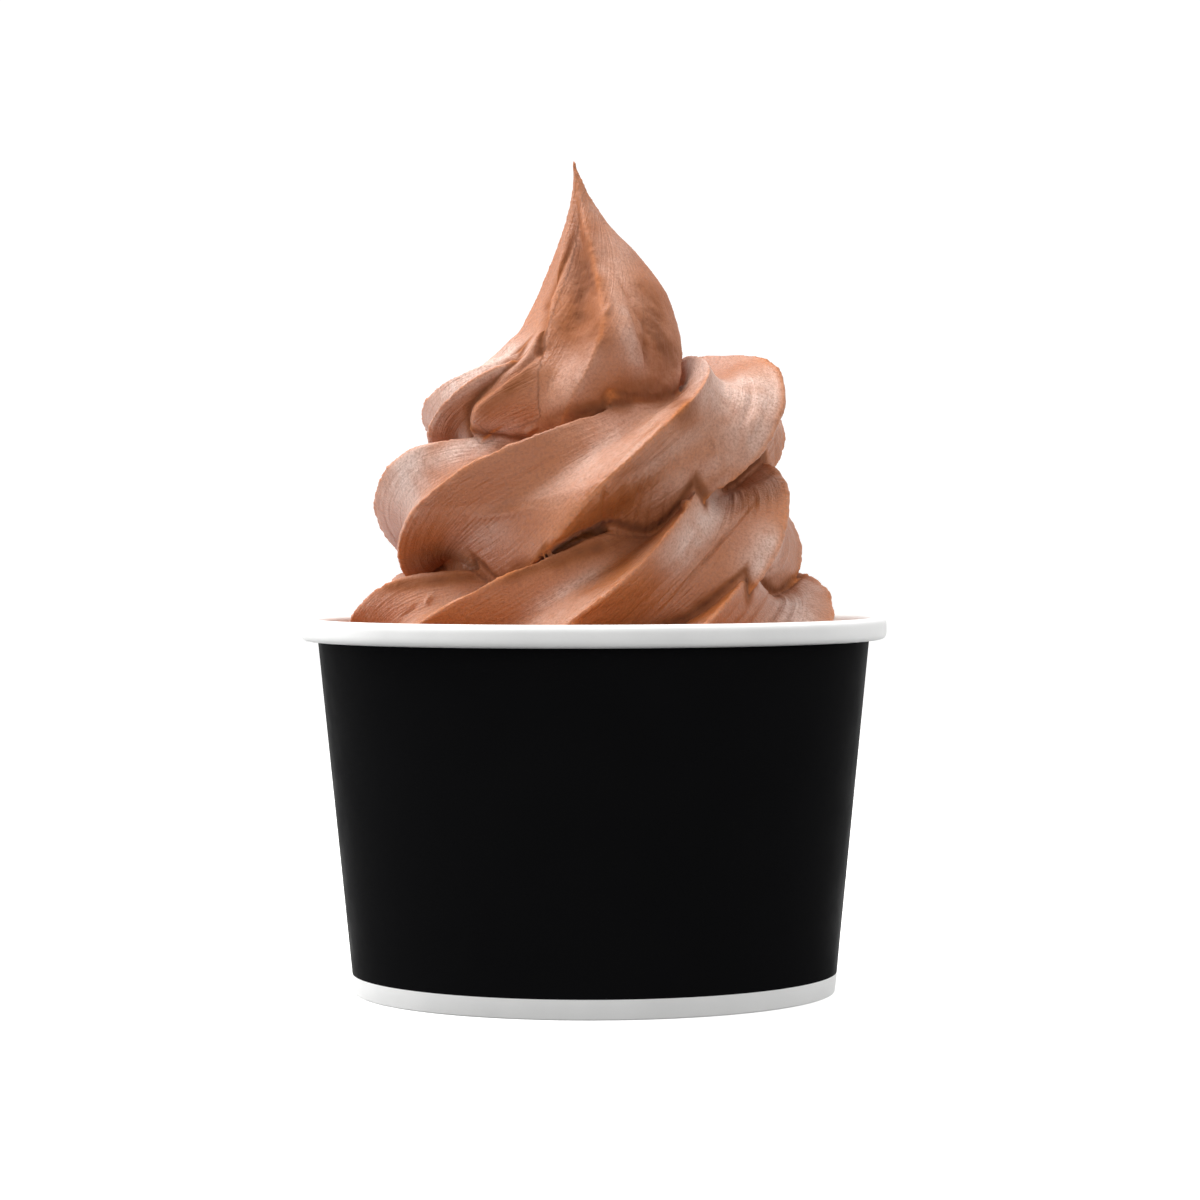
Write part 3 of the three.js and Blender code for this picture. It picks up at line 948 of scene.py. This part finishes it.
def linear(red, green, blue):
    """A colour given as 0 to 255 screen values."""
    def one(value):
        value /= 255
        return value / 12.92 if value <= 0.04045 else ((value + 0.055) / 1.055) ** 2.4
    return one(red), one(green), one(blue)


def soft_serve_colour(tree, place, grain):
    blotches = mapped(tree, noise_node(tree, place, 60, 3), 0.35, 0.65, 0, 1)
    torn_shade_share = mapped(tree, attribute(tree, "torn_and_shade"), 0, 1, 0, TORN_AND_SHADE_SHARE)
    crest_glow_share = mapped(tree, attribute(tree, "crest"), 0, 1, 0, CREST_GLOW_SHARE)
    grain_share = mapped(tree, grain, 0.42, 0.68, 0, GRAIN_SHARE)
    colour = mixed_colour(tree, blotches, *BLOTCH_BROWNS)
    # Painted shade: darker brown in the torn patches and where turns touch.
    colour = mixed_colour(tree, torn_shade_share, colour, TORN_AND_SHADE_BROWN)
    # Painted sheen: pale pink in its patches and on faces that look up.
    colour = mixed_colour(tree, attribute(tree, "painted_sheen"), colour, PAINTED_SHEEN_PINK)
    # Painted glow: brighter orange along the crests.
    colour = mixed_colour(tree, crest_glow_share, colour, PAINTED_CREST_GLOW)
    return mixed_colour(tree, grain_share, colour, GRAIN_BROWN)


def soft_serve_material():
    material, tree, shader = new_material("chocolate_soft_serve")
    place = object_place(tree)
    grain = noise_node(tree, place, 2200, 4, 0.7)
    flow = {"Vector": attribute(tree, "flow", "Vector"), "Scale": (2.2, 0.07, 1)}
    stretched = add_node(tree, "ShaderNodeMapping", flow).outputs["Vector"]
    streaks = noise_node(tree, stretched, 1.0, 3, 0.6)
    roughness = (SMOOTH_ROUGHNESS, TORN_ROUGHNESS)
    set_inputs(tree, shader, {
        "Base Color": soft_serve_colour(tree, place, grain),
        "Roughness": mapped(tree, attribute(tree, "torn_and_shade"), 0, 0.6, *roughness),
        "Specular IOR Level": 0.75,
        "Subsurface Weight": 0.08,
        "Subsurface Radius": (1.0, 0.45, 0.25),
        "Subsurface Scale": 1.2 * MM,
        "Normal": bumped(tree, streaks, 0.28 * MM, 0.8, bumped(tree, grain, 0.16 * MM)),
    })
    return material


def paper_material(name, colour, roughness, specular):
    material, tree, shader = new_material(name)
    place = object_place(tree)
    cloud = mapped(tree, noise_node(tree, place, 90, 3), 0.3, 0.7, 0, 1)
    darker = tuple(part * 0.93 for part in colour)
    smudges = noise_node(tree, place, 140, 4, 0.6)
    waves = bumped(tree, noise_node(tree, place, 110, 2), 0.25 * MM, 0.35)
    fibres = noise_node(tree, place, 1500, 4, 0.7)
    set_inputs(tree, shader, {
        "Base Color": mixed_colour(tree, cloud, darker, colour),
        "Specular IOR Level": specular,
        "Roughness": mapped(tree, smudges, 0.3, 0.7, roughness - 0.07, roughness + 0.07),
        "Normal": bumped(tree, fibres, 0.03 * MM, 0.5, waves),
    })
    return material


def floor_material():
    material, tree, shader = new_material("pale_floor")
    cloud = noise_node(tree, object_place(tree), 3, 3)
    set_inputs(tree, shader, {
        "Base Color": mixed_colour(tree, cloud, *[linear(*white) for white in FLOOR_WHITES]),
        "Roughness": 0.7,
        "Specular IOR Level": 0.2,
        "Emission Color": (1, 1, 1, 1),
        "Emission Strength": FLOOR_GLOW,
    })
    return material


# ---- stage ----

def make_camera():
    camera = bpy.data.cameras.new("camera")
    camera.sensor_width = SENSOR_MM
    camera.lens = SENSOR_MM * FOCAL_PIXELS / PHOTO_PIXELS
    camera.clip_start, camera.clip_end = CLIP_START, CLIP_END
    thing = add_object("camera", camera)
    thing.location = Vector(CAMERA_PLACE) * MM
    thing.rotation_euler = (
        Matrix.Rotation(math.radians(90 + CAMERA_PITCH), 3, "X")
        @ Matrix.Rotation(math.radians(CAMERA_ROLL), 3, "Z")
    ).to_euler()
    bpy.context.scene.camera = thing


def make_floor():
    bpy.ops.mesh.primitive_grid_add(
        x_subdivisions=FLOOR_CELLS, y_subdivisions=FLOOR_CELLS, size=FLOOR_SIZE
    )
    floor = bpy.context.object
    floor.name = "studio_floor"
    floor.data.materials.append(floor_material())
    floor.visible_diffuse = False


def area_light(name, place, size, power):
    lamp = bpy.data.lights.new(name, "AREA")
    lamp.shape = "RECTANGLE"
    lamp.size, lamp.size_y = size
    lamp.energy = power
    thing = add_object(name, lamp)
    thing.location = place
    way = Vector(LIGHT_TARGET) - Vector(place)
    thing.rotation_euler = way.to_track_quat("-Z", "Y").to_euler()


def make_world():
    """A soft surround whose strength is given along each axis and blends between them."""
    world = bpy.data.worlds.new("studio")
    bpy.context.scene.world = world
    world.use_nodes = True
    tree = world.node_tree
    way = tree.nodes.new("ShaderNodeTexCoord").outputs["Generated"]
    parts = add_node(tree, "ShaderNodeSeparateXYZ", {"Vector": way}).outputs
    strength = 0
    for axis, sign, share in SURROUND:
        lobe = mapped(tree, parts[axis], 0, sign, 0, 1)
        square = math_node(tree, "MULTIPLY", lobe, lobe)
        strength = math_node(tree, "MULTIPLY_ADD", square, share, strength)
    dimming = mapped(tree, parts["Z"], *GROUND_FADE, BELOW_SHARE, 1)
    set_inputs(tree, tree.nodes["Background"], {
        "Color": (1, 1, 1, 1),
        "Strength": math_node(tree, "MULTIPLY", strength, dimming),
    })


def make_lights():
    for name, place, size, power in LIGHTS:
        area_light(name, place, size, power)


make_camera()
swirl = make_swirl()
swirl.data.materials.append(soft_serve_material())
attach(swirl, "root")
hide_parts("soft_serve")

white_paper = paper_material("white_paper", linear(*PAPER_WHITE), 0.5, 0.4)
wall = make_wall()
wall.data.materials.append(paper_material("black_print", linear(*PRINT_BLACK), 0.36, 0.001))
wall.data.materials.append(white_paper)
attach(wall, "root")
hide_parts("cup_wall")

base = make_base()
base.data.materials.append(white_paper)
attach(base, "root")
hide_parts("cup_base")

make_floor()
make_world()
make_lights()
bpy.context.scene.view_settings.view_transform = "Standard"
